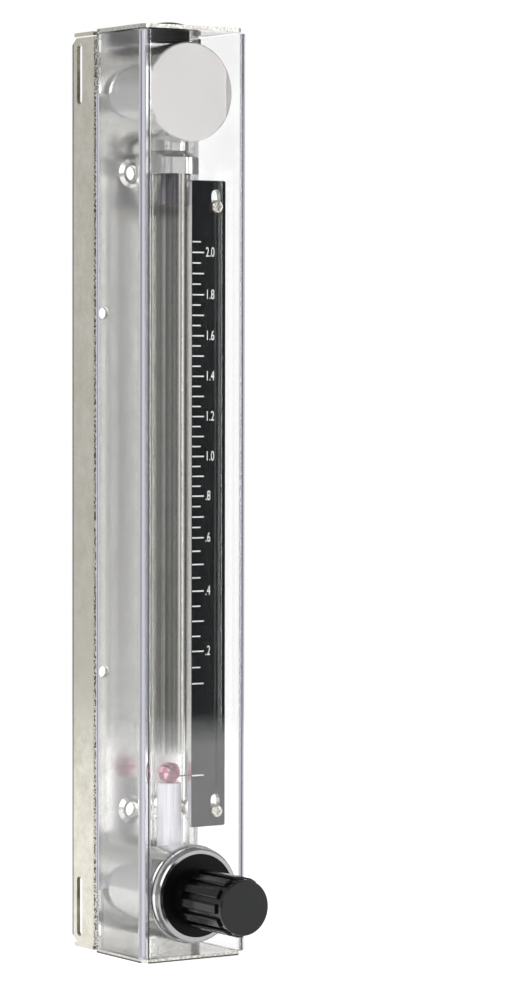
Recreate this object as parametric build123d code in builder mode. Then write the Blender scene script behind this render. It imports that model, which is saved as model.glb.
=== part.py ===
from build123d import *

import os
from math import sqrt

# A panel flow meter for liquids: a glass metering tube with a ball float stands between two
# stainless fittings, in a folded sheet case with a clear front shield and a needle valve.
# Millimetres. X runs to the right, -Y to the front, +Z up. The origin is on the axis of the
# metering tube, at the underside of the case's bottom plate.

# Case: two folded sheets, back to back
case_height = 358.0
case_width = 45.0
sheet = 1.5
bend_inside = 0.8
axis_to_web = 14.5
axis_to_plate_edge = 19.7
plate_corner = 4.2
channel_flange = 16.8
channel_end_step = 0.6
channel_end_setback = 1.5
channel_end_gap = 0.5
channel_corner_along = 3.0
channel_corner_up = 2.5
side_slot_width = 3.9
side_slot_length = 23.5
side_slot_to_edge = 5.4
side_slot_to_end = 16.6
relief_past_bend = 0.5

# Holes in the web of both sheets
collared_hole = 6.0
collar_foot = 11.2
collar_rise = 1.2
collar_slope = 49
collared_hole_x = 5.9
collared_hole_to_end = 55.2
plain_hole = 4.8
plain_hole_to_side = 4.3
plain_hole_to_end = 109.5

# Clear shield
shield_wall = 3.0
shield_overhang = 1.3
shield_bend_inside = 0.75
shield_proud = 0.8
shield_foot_gap = 0.3
shield_head_gap = 0.7
shield_web_gap = 0.4
shield_notch = 1.75
shield_notch_to_end = 25.0
shield_hole_gap = 0.6

# Fittings: a turned body at each end, with a rear port and a boss for its locknut
body_diameter = 38.1
body_to_plate = 4.45
body_edge = 0.5
outlet_face = 14.7
inlet_face_gap = 0.9
nose_step = 1.15
nose_proud = 1.9
boss_diameter = 22.2
boss_proud = 5.0
boss_gap = 0.2
port_diameter = 11.4
port_depth = 14.0
port_chamfer = 0.8
passage_diameter = 6.4
locknut_wall = 3.2
locknut_thick = 4.0
locknut_turn = 30.0
thread_gap = 0.02

# Metering tube, its seals and stops
tube_diameter = 15.9
tube_bore = 9.0
tube_bore_corner = 2.8
tube_bore_turn = 50.0
tube_seat_gap = 0.1
seal_thick = 1.5
seal_bore_gap = 0.5
tube_seat_depth = 9.0
stop_gap = 0.1
ball_gap = 0.53
stop_bore = 3.2
lower_stop_length = 31.55
upper_stop_below_gland = 11.6
upper_stop_ring = 1.2
upper_stop_shank = 6.6
upper_stop_shank_length = 4.6
upper_stop_neck = 4.8
upper_stop_spigot = 3.0

# Tube gland: collar over the tube's upper end, neck into the outlet body
gland_wall = 3.1
gland_below_port = 31.0
gland_straight = 6.3
gland_cone = 2.6
neck_diameter = 14.6
neck_gap = 0.05
gland_bore = 8.0
neck_recess = 11.6
neck_recess_length = 9.0
neck_hole = 4.0
o_ring_section = 1.75
o_ring_gap = 0.02
gland_o_ring_up = 5.0
tube_plug_depth = 11.0
tube_plug_sink = 1.05
tube_plug_socket = 8.0
tube_plug_socket_depth = 5.0
tube_plug_o_ring_up = 1.6

# Access plug in the top plate
access_hole = 15.2
access_barrel_gap = 0.1
access_barrel_length = 3.6
access_barrel_wall = 1.2
dome_lip = 0.8
dome_height = 2.5
dome_edge = 0.8

# Needle valve, a little below the middle of the nose
valve_below_port = 1.0
seat_diameter = 9.0
seat_length = 4.0
seat_orifice = 3.2
needle_gap = 0.1
needle_tip = 0.8
needle_inside_seat = 0.4
needle_shoulder = 0.9
valve_chamber = 8.0
stem_rod = 5.2
stem_land = 7.1
stem_land_gap = 0.05
stem_land_start = 7.0
stem_groove = 4.0
stem_groove_start = 8.4
stem_groove_width = 1.9
bonnet_barrel = 12.7
bonnet_back = 6.5
bonnet_flange = 18.6
bonnet_flange_thick = 2.8
bonnet_gap = 0.03
bezel_rim = 1.9
bezel_gap = 0.1
bezel_thick = 1.2
bezel_sink = 0.2

# Knob
knob_length = 29.4
knob_behind = 0.6
knob_core = 20.4
knob_cap_proud = 0.45
knob_cap_length = 2.6
knob_cap_edge = 0.6
knob_rib_count = 12
knob_rib_width = 3.7
knob_rib_proud = 1.35
knob_rib_edge = 0.7
knob_rib_end = 3.4
knob_bore_gap = 0.02
shaft_diameter = 6.0
shaft_depth = 23.0
set_screw = 3.0
set_screw_from_back = 5.5
set_screw_sink = 0.8
set_screw_socket = 1.5

# Scale plate and its fixings
scale_left = 3.7
scale_to_shield = 1.7
scale_to_tube = 0.5
scale_thick = 2.4
scale_above_inlet = 24.9
scale_below_outlet = 33.4
scale_corner = 0.8
scale_slot_width = 4.1
scale_slot_travel = 4.5
scale_screw_from_right = 4.4
scale_screw_from_bottom = 5.8
scale_screw_from_top = 10.0
standoff_diameter = 5.6
standoff_tapping_depth = 8.0
screw_shank = 2.5
screw_head = 5.0
screw_head_height = 1.9
screw_head_edge = 1.0
screw_reach = 5.0
screw_recess_width = 0.7
screw_recess_length = 2.8
screw_recess_depth = 0.9
screw_hole_gap = 0.15

# Places that follow from the sizes
plain_hole_x = case_width / 2 - plain_hole_to_side
web_front = axis_to_web
channel_front = web_front + sheet
channel_back = channel_front + sheet
rear_edge = channel_back + channel_flange
shield_width = case_width + 2 * shield_overhang
shield_front = -axis_to_plate_edge - shield_proud
shield_bottom = sheet + shield_foot_gap
shield_top = case_height - sheet - shield_head_gap
shield_rear = web_front - shield_web_gap
body_radius = body_diameter / 2
port_height = sheet + body_to_plate + body_radius
outlet_height = case_height - port_height
inlet_front = shield_front + shield_wall + inlet_face_gap
nose_front = shield_front - nose_proud
nose_diameter = body_diameter - 2 * nose_step
bezel_diameter = nose_diameter - 2 * bezel_rim
locknut_flats = boss_diameter + 2 * locknut_wall
valve_height = port_height - valve_below_port
boss_back = channel_back + boss_proud
tube_radius = tube_diameter / 2
tube_seat_radius = tube_radius + tube_seat_gap
lower_seat = port_height + body_radius - tube_seat_depth
tube_bottom = lower_seat + seal_thick
gland_radius = tube_seat_radius + gland_wall
gland_bottom = outlet_height - gland_below_port
gland_shoulder = gland_bottom + gland_straight
tube_top = gland_shoulder - seal_thick
neck_radius = neck_diameter / 2
neck_bore_radius = neck_radius + neck_gap
tube_plug_top_height = outlet_height + body_radius - tube_plug_sink
tube_plug_bottom = tube_plug_top_height - tube_plug_depth
ball_diameter = tube_bore - 2 * ball_gap
stop_diameter = tube_bore - 2 * stop_gap
seal_inner = stop_diameter + 2 * seal_bore_gap
lower_stop_top = lower_seat + lower_stop_length
upper_stop_bottom = gland_bottom - upper_stop_below_gland
ball_height = lower_stop_top + ball_diameter / 2
bezel_back = nose_front + bezel_sink + bezel_thick
bezel_front = bezel_back - bezel_thick
bonnet_front = bezel_front - bonnet_flange_thick
knob_back = bonnet_front - knob_behind
knob_front = knob_back - knob_length
knob_cap = knob_core + 2 * knob_cap_proud
knob_rib_diameter = knob_core + 2 * knob_rib_proud
seat_front = boss_back - port_depth - seat_length
scale_right = shield_width / 2 - shield_wall - scale_to_shield
scale_width = scale_right - scale_left
scale_back = -sqrt((tube_radius + scale_to_tube) ** 2 - scale_left**2)
scale_front = scale_back - scale_thick
scale_bottom = port_height + scale_above_inlet
scale_top = outlet_height - scale_below_outlet
scale_length = scale_top - scale_bottom
scale_screw_x = scale_right - scale_screw_from_right
scale_screw_heights = [scale_bottom + scale_screw_from_bottom,
                       scale_top - scale_screw_from_top]
screw_hole = screw_shank + 2 * screw_hole_gap
standoff_tapping = screw_shank + 2 * thread_gap


def toward_front(y, z):
    """A plane facing the front, so that extrusions run to -Y."""
    return Plane(origin=(0, y, z), x_dir=(1, 0, 0), z_dir=(0, -1, 0))


def toward_back(y, z):
    """A plane facing the back, so that extrusions run to +Y."""
    return Plane(origin=(0, y, z), x_dir=(-1, 0, 0), z_dir=(0, 1, 0))


def lengthwise(z):
    """The plane of a profile turned about a Y axis: local x is Y, local y is the radius."""
    return Plane(origin=(0, 0, z), x_dir=(0, 1, 0), z_dir=(1, 0, 0))


def valve_axis(z):
    return Axis((0, 0, z), (0, 1, 0))


def from_both_ends(distance):
    """Heights at the same distance from the case's lower and upper end."""
    return [distance, case_height - distance]


def web_holes(x, to_end):
    """Centres of four like holes in the web, two near each end."""
    return [(side * x, z) for z in from_both_ends(to_end) for side in (-1, 1)]


def round_bends(section, outer_face, inner_face):
    """Round the folds of a sheet's section at its outer and inner faces."""
    corners = section.vertices()
    fillet([v for v in corners if abs(v.Y - outer_face) < same_place], outside_bend)
    fillet([v for v in corners if abs(v.Y - inner_face) < same_place], bend_inside)


def web_openings():
    """Every hole that goes through both webs, in the current sketch."""
    with Locations(*web_holes(collared_hole_x, collared_hole_to_end)):
        Circle(collared_hole / 2)
    with Locations(*web_holes(plain_hole_x, plain_hole_to_end)):
        Circle(plain_hole / 2)
    with Locations(*[(0, z) for z in fitting_heights]):
        Circle(boss_hole_radius)
    with Locations(*fixing_places):
        Circle(screw_hole / 2)


def seat_axis(plane):
    """The coordinate axis that a front or back facing plane looks along."""
    return Axis((0, 0, 0), (0, plane.z_dir.Y, 0))


same_place = 0.01
outside_bend = bend_inside + sheet
fitting_heights = [port_height, outlet_height]
boss_hole_radius = boss_diameter / 2 + boss_gap
fixing_places = [(scale_screw_x, z) for z in scale_screw_heights]

# Front sheet: the web behind the tube, folded forward into the bottom and top plates
with BuildPart() as meter_bracket:
    with BuildSketch(Plane.YZ) as bracket_section:
        with BuildLine():
            Polyline(
                (-axis_to_plate_edge, 0),
                (channel_front, 0),
                (channel_front, case_height),
                (-axis_to_plate_edge, case_height),
                (-axis_to_plate_edge, case_height - sheet),
                (web_front, case_height - sheet),
                (web_front, sheet),
                (-axis_to_plate_edge, sheet),
                close=True,
            )
        make_face()
        round_bends(bracket_section, channel_front, web_front)
    extrude(amount=case_width / 2, both=True)
    fillet(meter_bracket.edges().filter_by(Axis.Z).group_by(Axis.Y)[0], plate_corner)
    with BuildSketch(toward_front(web_front, 0)):
        with Locations(*web_holes(collared_hole_x, collared_hole_to_end)):
            Circle(collar_foot / 2)
    extrude(amount=collar_rise, taper=collar_slope)
    with BuildSketch(toward_front(channel_front, 0)):
        web_openings()
    extrude(amount=sheet + collar_rise, mode=Mode.SUBTRACT)
    with BuildSketch(Plane.XY.offset(case_height - sheet)):
        Circle(access_hole / 2)
    extrude(amount=sheet, mode=Mode.SUBTRACT)
meter_bracket.part.label = "meter_bracket"

# Rear sheet: the same web, folded back into two side flanges and two short end flanges
channel_bottom = channel_end_step
channel_top = case_height - channel_end_step
flange_bottom = channel_bottom + sheet + channel_end_gap
flange_top = channel_top - sheet - channel_end_gap
end_flange_edge = rear_edge - channel_end_setback
end_flange_start = channel_front + outside_bend + relief_past_bend
side_slot_y = rear_edge - side_slot_to_edge
with BuildPart() as mounting_channel:
    with BuildSketch(Plane.XY.offset(flange_bottom)) as wall_section:
        with BuildLine():
            Polyline(
                (-case_width / 2, rear_edge),
                (-case_width / 2, channel_front),
                (case_width / 2, channel_front),
                (case_width / 2, rear_edge),
                (case_width / 2 - sheet, rear_edge),
                (case_width / 2 - sheet, channel_back),
                (-case_width / 2 + sheet, channel_back),
                (-case_width / 2 + sheet, rear_edge),
                close=True,
            )
        make_face()
        round_bends(wall_section, channel_front, channel_back)
    extrude(amount=flange_top - flange_bottom)
    for edge in mounting_channel.edges().filter_by(Axis.X).group_by(Axis.Y)[-1]:
        end_face = mounting_channel.faces().filter_by(Axis.Z).sort_by_distance(edge.center())[0]
        chamfer(edge, channel_corner_along, channel_corner_up, reference=end_face)
    with BuildSketch(Plane.YZ) as end_section:
        with BuildLine():
            Polyline(
                (end_flange_edge, channel_bottom),
                (channel_front, channel_bottom),
                (channel_front, channel_top),
                (end_flange_edge, channel_top),
                (end_flange_edge, channel_top - sheet),
                (channel_back, channel_top - sheet),
                (channel_back, channel_bottom + sheet),
                (end_flange_edge, channel_bottom + sheet),
                close=True,
            )
        make_face()
        round_bends(end_section, channel_front, channel_back)
    extrude(amount=case_width / 2 - outside_bend, both=True)
    for foot in (channel_bottom, channel_top - sheet):
        with BuildSketch(Plane.XY.offset(foot)):
            with Locations((0, (end_flange_start + end_flange_edge) / 2)):
                Rectangle(case_width, end_flange_edge - end_flange_start)
        extrude(amount=sheet)
    with BuildSketch(toward_front(channel_back, 0)):
        web_openings()
    extrude(amount=sheet, mode=Mode.SUBTRACT)
    with BuildSketch(Plane.YZ):
        with Locations(*[(side_slot_y, z) for z in from_both_ends(side_slot_to_end)]):
            SlotOverall(side_slot_length, side_slot_width, rotation=90)
    extrude(amount=case_width / 2, both=True, mode=Mode.SUBTRACT)
mounting_channel.part.label = "mounting_channel"

# Clear shield: one folded sheet, cut back at its rear corners, with a hole for the valve's nose
notch_depth = shield_rear - shield_notch
with BuildPart() as shield:
    with BuildSketch(Plane.XY.offset(shield_bottom)) as shield_section:
        with BuildLine():
            Polyline(
                (-shield_width / 2, shield_rear),
                (-shield_width / 2, shield_front),
                (shield_width / 2, shield_front),
                (shield_width / 2, shield_rear),
                (shield_width / 2 - shield_wall, shield_rear),
                (shield_width / 2 - shield_wall, shield_front + shield_wall),
                (-shield_width / 2 + shield_wall, shield_front + shield_wall),
                (-shield_width / 2 + shield_wall, shield_rear),
                close=True,
            )
        make_face()
        corners = shield_section.vertices().group_by(Axis.Y)
        fillet(corners[0], shield_bend_inside + shield_wall)
        fillet(corners[1], shield_bend_inside)
    extrude(amount=shield_top - shield_bottom)
    with BuildSketch(Plane.YZ):
        for z in (0, case_height - shield_notch_to_end):
            with Locations((notch_depth, z)):
                Rectangle(shield_wall, shield_notch_to_end, align=(Align.MIN, Align.MIN))
    extrude(amount=shield_width / 2, both=True, mode=Mode.SUBTRACT)
    with BuildSketch(toward_back(shield_front, 0)):
        with Locations((0, port_height)):
            Circle(nose_diameter / 2 + shield_hole_gap)
    extrude(amount=shield_wall, mode=Mode.SUBTRACT)
shield.part.label = "shield"

# Black plug in the top plate, over the tube plug
with BuildPart() as access_plug:
    barrel_radius = access_hole / 2 - access_barrel_gap
    barrel_end = case_height - sheet - access_barrel_length
    dome_radius = access_hole / 2 + dome_lip
    with BuildSketch(Plane.XZ):
        with BuildLine():
            Polyline(
                (barrel_radius - access_barrel_wall, barrel_end),
                (barrel_radius, barrel_end),
                (barrel_radius, case_height),
                (dome_radius, case_height),
                (dome_radius, case_height + dome_edge),
            )
            TangentArc(
                (0, case_height + dome_height),
                (dome_radius, case_height + dome_edge),
                tangent=(1, 0),
            )
            Polyline(
                (0, case_height + dome_height),
                (0, case_height - sheet),
                (barrel_radius - access_barrel_wall, case_height - sheet),
                (barrel_radius - access_barrel_wall, barrel_end),
            )
        make_face()
    revolve(axis=Axis.Z)
access_plug.part.label = "access_plug"


def bar_end(front, z):
    """A turned bar, its boss through the case's web, and the port in the boss."""
    with BuildPart() as bar:
        with BuildSketch(lengthwise(z)):
            with BuildLine():
                Polyline(
                    (front, 0),
                    (front, body_radius - body_edge),
                    (front + body_edge, body_radius),
                    (web_front, body_radius),
                    (web_front, boss_diameter / 2),
                    (boss_back - body_edge, boss_diameter / 2),
                    (boss_back, boss_diameter / 2 - body_edge),
                    (boss_back, 0),
                    close=True,
                )
            make_face()
        revolve(axis=valve_axis(z))
        with BuildSketch(toward_front(boss_back, z)):
            Circle(port_diameter / 2)
        extrude(amount=port_depth, mode=Mode.SUBTRACT)
        chamfer(bar.faces().sort_by(Axis.Y)[-1].inner_wires().edges(), port_chamfer)
    return bar.part


# Outlet fitting: cross-drilled from top to bottom for the gland's neck and the tube plug
with BuildPart() as outlet_fitting:
    add(bar_end(-outlet_face, outlet_height))
    with BuildSketch(toward_front(boss_back - port_depth, outlet_height)):
        Circle(passage_diameter / 2)
    extrude(amount=boss_back - port_depth, mode=Mode.SUBTRACT)
    with BuildSketch(Plane.XY.offset(outlet_height - body_radius)):
        Circle(neck_bore_radius)
    extrude(amount=body_diameter, mode=Mode.SUBTRACT)
outlet_fitting.part.label = "outlet_fitting"

# Inlet fitting: seat for the tube above, valve bore from the front, nose through the shield
bonnet_back_y = -bonnet_back
with BuildPart() as inlet_fitting:
    add(bar_end(inlet_front, port_height))
    with BuildSketch(toward_front(inlet_front, port_height)):
        Circle(nose_diameter / 2)
    extrude(amount=inlet_front - nose_front)
    chamfer(inlet_fitting.faces().sort_by(Axis.Y)[0].outer_wire().edges(), body_edge)
    with BuildSketch(toward_back(nose_front, port_height)):
        Circle(bezel_diameter / 2 + bezel_gap)
    extrude(amount=bezel_back - nose_front, mode=Mode.SUBTRACT)
    with BuildSketch(toward_back(nose_front, valve_height)):
        Circle(bonnet_barrel / 2 + bonnet_gap)
    extrude(amount=bonnet_back_y - nose_front, mode=Mode.SUBTRACT)
    with BuildSketch(toward_back(nose_front, valve_height)):
        Circle(valve_chamber / 2)
    extrude(amount=seat_front - nose_front, mode=Mode.SUBTRACT)
    with BuildSketch(toward_front(boss_back - port_depth, valve_height)):
        Circle(seat_diameter / 2)
    extrude(amount=seat_length, mode=Mode.SUBTRACT)
    with BuildSketch(Plane.XY.offset(port_height)):
        Circle(passage_diameter / 2)
    extrude(amount=body_radius, mode=Mode.SUBTRACT)
    with BuildSketch(Plane.XY.offset(lower_seat)):
        Circle(tube_seat_radius)
    extrude(amount=body_radius, mode=Mode.SUBTRACT)
inlet_fitting.part.label = "inlet_fitting"


def locknut(z):
    """A thin hexagon nut on the boss, against the back of the web."""
    with BuildPart() as nut:
        with BuildSketch(toward_back(channel_back, z)):
            RegularPolygon(locknut_flats / 2, 6, major_radius=False, rotation=locknut_turn)
            Circle(boss_diameter / 2 + thread_gap, mode=Mode.SUBTRACT)
        extrude(amount=locknut_thick)
        with BuildSketch(lengthwise(z)):
            with Locations((channel_back, 0)):
                Rectangle(locknut_thick, locknut_flats, align=(Align.MIN, Align.MIN))
        revolve(axis=valve_axis(z), mode=Mode.INTERSECT)
    return nut.part


with BuildPart() as inlet_locknut:
    add(locknut(port_height))
inlet_locknut.part.label = "inlet_locknut"

with BuildPart() as outlet_locknut:
    add(locknut(outlet_height))
outlet_locknut.part.label = "outlet_locknut"

# Metering tube: thick glass with three flats inside that guide the ball
with BuildPart() as metering_tube:
    with BuildSketch(Plane.XY.offset(tube_bottom)):
        Circle(tube_radius)
    extrude(amount=tube_top - tube_bottom)
    with BuildSketch(Plane.XY.offset(tube_bottom)) as bore_section:
        RegularPolygon(tube_bore / 2, 3, major_radius=False, rotation=tube_bore_turn)
        fillet(bore_section.vertices(), tube_bore_corner)
    extrude(amount=tube_top - tube_bottom, mode=Mode.SUBTRACT)
metering_tube.part.label = "metering_tube"


def flat_seal(z):
    """A flat ring under an end of the tube."""
    with BuildPart() as ring:
        with BuildSketch(Plane.XY.offset(z)):
            Circle(tube_radius)
            Circle(seal_inner / 2, mode=Mode.SUBTRACT)
        extrude(amount=seal_thick)
    return ring.part


with BuildPart() as lower_tube_seal:
    add(flat_seal(lower_seat))
lower_tube_seal.part.label = "lower_tube_seal"

with BuildPart() as upper_tube_seal:
    add(flat_seal(tube_top))
upper_tube_seal.part.label = "upper_tube_seal"

# Float stops and the ball between them
with BuildPart() as lower_float_stop:
    with BuildSketch(Plane.XY.offset(lower_seat)):
        Circle(stop_diameter / 2)
        Circle(stop_bore / 2, mode=Mode.SUBTRACT)
    extrude(amount=lower_stop_top - lower_seat)
lower_float_stop.part.label = "lower_float_stop"

shank_bottom = upper_stop_bottom + upper_stop_ring
shank_top = shank_bottom + upper_stop_shank_length
with BuildPart() as upper_float_stop:
    with BuildSketch(Plane.XZ):
        with BuildLine():
            Polyline(
                (stop_bore / 2, upper_stop_bottom),
                (stop_diameter / 2, upper_stop_bottom),
                (stop_diameter / 2, shank_bottom),
                (upper_stop_shank / 2, shank_bottom),
                (upper_stop_shank / 2, shank_top),
                (upper_stop_neck / 2, shank_top),
                (upper_stop_neck / 2, gland_shoulder),
                (gland_bore / 2 - thread_gap, gland_shoulder),
                (gland_bore / 2 - thread_gap, gland_shoulder + upper_stop_spigot),
                (stop_bore / 2, gland_shoulder + upper_stop_spigot),
                close=True,
            )
        make_face()
    revolve(axis=Axis.Z)
upper_float_stop.part.label = "upper_float_stop"

with BuildPart() as float_ball:
    with Locations((0, 0, ball_height)):
        Sphere(ball_diameter / 2)
float_ball.part.label = "float_ball"

# Tube gland: its collar holds the tube's upper end, its neck slides in the outlet fitting
cone_top = gland_shoulder + gland_cone
groove_radius = neck_bore_radius - o_ring_section
gland_ring_height = outlet_height - body_radius + gland_o_ring_up
recess_bottom = outlet_height - neck_recess_length / 2
with BuildPart() as tube_gland:
    with BuildSketch(Plane.XZ):
        with BuildLine():
            Polyline(
                (gland_bore / 2, gland_shoulder),
                (tube_seat_radius, gland_shoulder),
                (tube_seat_radius, gland_bottom),
                (gland_radius, gland_bottom),
                (gland_radius, gland_shoulder),
                (neck_radius, cone_top),
                (neck_radius, tube_plug_bottom),
                (gland_bore / 2, tube_plug_bottom),
                close=True,
            )
        make_face()
    revolve(axis=Axis.Z)
    with BuildSketch(Plane.XZ):
        with Locations((groove_radius, gland_ring_height)):
            Rectangle(neck_radius, o_ring_section, align=(Align.MIN, Align.CENTER))
        with Locations((neck_recess / 2, recess_bottom)):
            Rectangle(neck_radius, neck_recess_length, align=(Align.MIN, Align.MIN))
    revolve(axis=Axis.Z, mode=Mode.SUBTRACT)
    with BuildSketch(toward_front(neck_radius, outlet_height)):
        Circle(neck_hole / 2)
    extrude(amount=neck_diameter, mode=Mode.SUBTRACT)
tube_gland.part.label = "tube_gland"


def vertical_o_ring(z):
    """An O-ring between a groove and the fitting's vertical bore."""
    section_radius = o_ring_section / 2 - o_ring_gap
    with BuildPart() as ring:
        with Locations((0, 0, z)):
            Torus(neck_bore_radius - o_ring_section / 2, section_radius)
    return ring.part


with BuildPart() as gland_o_ring:
    add(vertical_o_ring(gland_ring_height))
gland_o_ring.part.label = "gland_o_ring"

# Tube plug: screwed down on the gland's neck from the top
tube_plug_ring_height = tube_plug_bottom + tube_plug_o_ring_up
with BuildPart() as tube_plug:
    with BuildSketch(Plane.XY.offset(tube_plug_bottom)):
        Circle(neck_bore_radius - thread_gap)
    extrude(amount=tube_plug_depth)
    with BuildSketch(Plane.XY.offset(tube_plug_top_height)):
        RegularPolygon(tube_plug_socket / 2, 6, major_radius=False)
    extrude(amount=-tube_plug_socket_depth, mode=Mode.SUBTRACT)
    with BuildSketch(Plane.XZ):
        with Locations((groove_radius, tube_plug_ring_height)):
            Rectangle(neck_radius, o_ring_section, align=(Align.MIN, Align.CENTER))
    revolve(axis=Axis.Z, mode=Mode.SUBTRACT)
tube_plug.part.label = "tube_plug"

with BuildPart() as tube_plug_o_ring:
    add(vertical_o_ring(tube_plug_ring_height))
tube_plug_o_ring.part.label = "tube_plug_o_ring"

# Valve seat: a bush in the inlet passage
with BuildPart() as valve_seat:
    with BuildSketch(toward_back(seat_front, valve_height)):
        Circle(seat_diameter / 2)
        Circle(seat_orifice / 2, mode=Mode.SUBTRACT)
    extrude(amount=seat_length)
valve_seat.part.label = "valve_seat"

# Valve stem: needle, rod, sealed land and the shaft for the knob
needle_radius = seat_orifice / 2 - needle_gap
needle_end = seat_front + seat_length - needle_inside_seat
groove_start = -stem_groove_start
groove_end = groove_start - stem_groove_width
shaft_front = knob_back - shaft_depth
with BuildPart() as valve_stem:
    with BuildSketch(lengthwise(valve_height)):
        with BuildLine():
            Polyline(
                (needle_end, 0),
                (needle_end, needle_tip / 2),
                (seat_front, needle_radius),
                (seat_front - needle_shoulder, stem_rod / 2),
                (-stem_land_start, stem_rod / 2),
                (-stem_land_start, stem_land / 2),
                (groove_start, stem_land / 2),
                (groove_start, stem_groove / 2),
                (groove_end, stem_groove / 2),
                (groove_end, stem_land / 2),
                (bonnet_front, stem_land / 2),
                (bonnet_front, shaft_diameter / 2),
                (shaft_front, shaft_diameter / 2),
                (shaft_front, 0),
                close=True,
            )
        make_face()
    revolve(axis=valve_axis(valve_height))
valve_stem.part.label = "valve_stem"

bonnet_bore_radius = stem_land / 2 + stem_land_gap
ring_inner = stem_groove / 2 + o_ring_gap
ring_outer = bonnet_bore_radius - o_ring_gap
with BuildPart() as stem_o_ring:
    with Locations(Location(((0, (groove_start + groove_end) / 2, valve_height)), (90, 0, 0))):
        Torus((ring_inner + ring_outer) / 2, (ring_outer - ring_inner) / 2)
stem_o_ring.part.label = "stem_o_ring"

# Bonnet: threaded into the nose, its flange holds the black bezel disc
with BuildPart() as bonnet:
    with BuildSketch(lengthwise(valve_height)):
        with BuildLine():
            Polyline(
                (bonnet_back_y, bonnet_bore_radius),
                (bonnet_back_y, bonnet_barrel / 2),
                (bezel_front, bonnet_barrel / 2),
                (bezel_front, bonnet_flange / 2),
                (bonnet_front + body_edge, bonnet_flange / 2),
                (bonnet_front, bonnet_flange / 2 - body_edge),
                (bonnet_front, bonnet_bore_radius),
                close=True,
            )
        make_face()
    revolve(axis=valve_axis(valve_height))
bonnet.part.label = "bonnet"

with BuildPart() as valve_bezel:
    with BuildSketch(toward_front(bezel_back, port_height)):
        Circle(bezel_diameter / 2)
    extrude(amount=bezel_thick)
    with BuildSketch(toward_front(bezel_back, valve_height)):
        Circle(bonnet_barrel / 2 + bonnet_gap)
    extrude(amount=bezel_thick, mode=Mode.SUBTRACT)
valve_bezel.part.label = "valve_bezel"

# Knob: a round cap, a core and raised grip ribs that stop short of the cap
rib_height = (knob_rib_diameter - knob_core) / 2
rib_middle = knob_core / 2
rib_length = knob_length - knob_rib_end
screw_y = knob_back - set_screw_from_back
screw_plane = Plane(origin=(0, screw_y, valve_height), x_dir=(1, 0, 0), z_dir=(0, 0, -1))
with BuildPart() as knob:
    with BuildSketch(toward_front(knob_back, valve_height)):
        Circle(knob_core / 2)
    extrude(amount=knob_length)
    with BuildSketch(toward_back(knob_front, valve_height)):
        Circle(knob_cap / 2)
    extrude(amount=knob_cap_length)
    fillet(knob.faces().sort_by(Axis.Y)[0].edges(), knob_cap_edge)
    with BuildSketch(toward_front(knob_back, valve_height)):
        with PolarLocations(rib_middle, knob_rib_count):
            RectangleRounded(2 * rib_height, knob_rib_width, knob_rib_edge)
    extrude(amount=rib_length)
    with BuildSketch(toward_front(knob_back, valve_height)):
        Circle(shaft_diameter / 2 + knob_bore_gap)
    extrude(amount=shaft_depth, mode=Mode.SUBTRACT)
    with BuildSketch(screw_plane):
        Circle(set_screw / 2)
    extrude(amount=knob_rib_diameter, mode=Mode.SUBTRACT)
knob.part.label = "knob"

screw_outer = knob_core / 2 - set_screw_sink
with BuildPart() as knob_set_screw:
    with BuildSketch(screw_plane.offset(shaft_diameter / 2)):
        Circle(set_screw / 2 - thread_gap)
    extrude(amount=screw_outer - shaft_diameter / 2)
    with BuildSketch(screw_plane.offset(screw_outer)):
        RegularPolygon(set_screw_socket / 2, 6, major_radius=False)
    extrude(amount=-set_screw_socket, mode=Mode.SUBTRACT)
knob_set_screw.part.label = "knob_set_screw"

# Scale plate: slotted at both ends, so that its zero can be set
with BuildPart() as scale_plate:
    with BuildSketch(toward_back(scale_front, 0)):
        with Locations((-scale_left - scale_width / 2, scale_bottom + scale_length / 2)):
            RectangleRounded(scale_width, scale_length, scale_corner)
        slot_lift = scale_slot_travel / 2
        with Locations(*[(-scale_screw_x, z + slot_lift) for z in scale_screw_heights]):
            SlotCenterToCenter(
                scale_slot_travel, scale_slot_width, rotation=90, mode=Mode.SUBTRACT
            )
    extrude(amount=scale_thick)
scale_plate.part.label = "scale_plate"

with BuildPart() as scale_standoffs:
    with BuildSketch(toward_back(scale_back, 0)):
        with Locations(*[(-x, z) for x, z in fixing_places]):
            Circle(standoff_diameter / 2)
    extrude(amount=web_front - scale_back)
    for start in (toward_back(scale_back, 0), toward_front(web_front, 0)):
        side = start.x_dir.X
        with BuildSketch(start):
            with Locations(*[(side * x, z) for x, z in fixing_places]):
                Circle(standoff_tapping / 2)
        extrude(amount=standoff_tapping_depth, mode=Mode.SUBTRACT)
scale_standoffs.part.label = "scale_standoffs"


def pan_head_screws(seat, shank_length):
    """Cross-recess screws at the scale's fixing places, heads above the seat plane."""
    side = seat.x_dir.X
    places = [(side * x, z) for x, z in fixing_places]
    with BuildPart() as screws:
        with BuildSketch(seat):
            with Locations(*places):
                Circle(screw_head / 2)
        extrude(amount=screw_head_height)
        fillet(screws.edges().filter_by(GeomType.CIRCLE).group_by(seat_axis(seat))[-1], screw_head_edge)
        with BuildSketch(seat):
            with Locations(*places):
                Circle(screw_shank / 2)
        extrude(amount=-shank_length)
        with BuildSketch(seat.offset(screw_head_height)):
            with Locations(*places):
                Rectangle(screw_recess_length, screw_recess_width)
                Rectangle(screw_recess_width, screw_recess_length)
        extrude(amount=-screw_recess_depth, mode=Mode.SUBTRACT)
    return screws.part


with BuildPart() as scale_screws:
    add(pan_head_screws(toward_front(scale_front, 0), scale_thick + screw_reach))
scale_screws.part.label = "scale_screws"

with BuildPart() as standoff_screws:
    add(pan_head_screws(toward_back(channel_back, 0), 2 * sheet + screw_reach))
standoff_screws.part.label = "standoff_screws"

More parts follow.
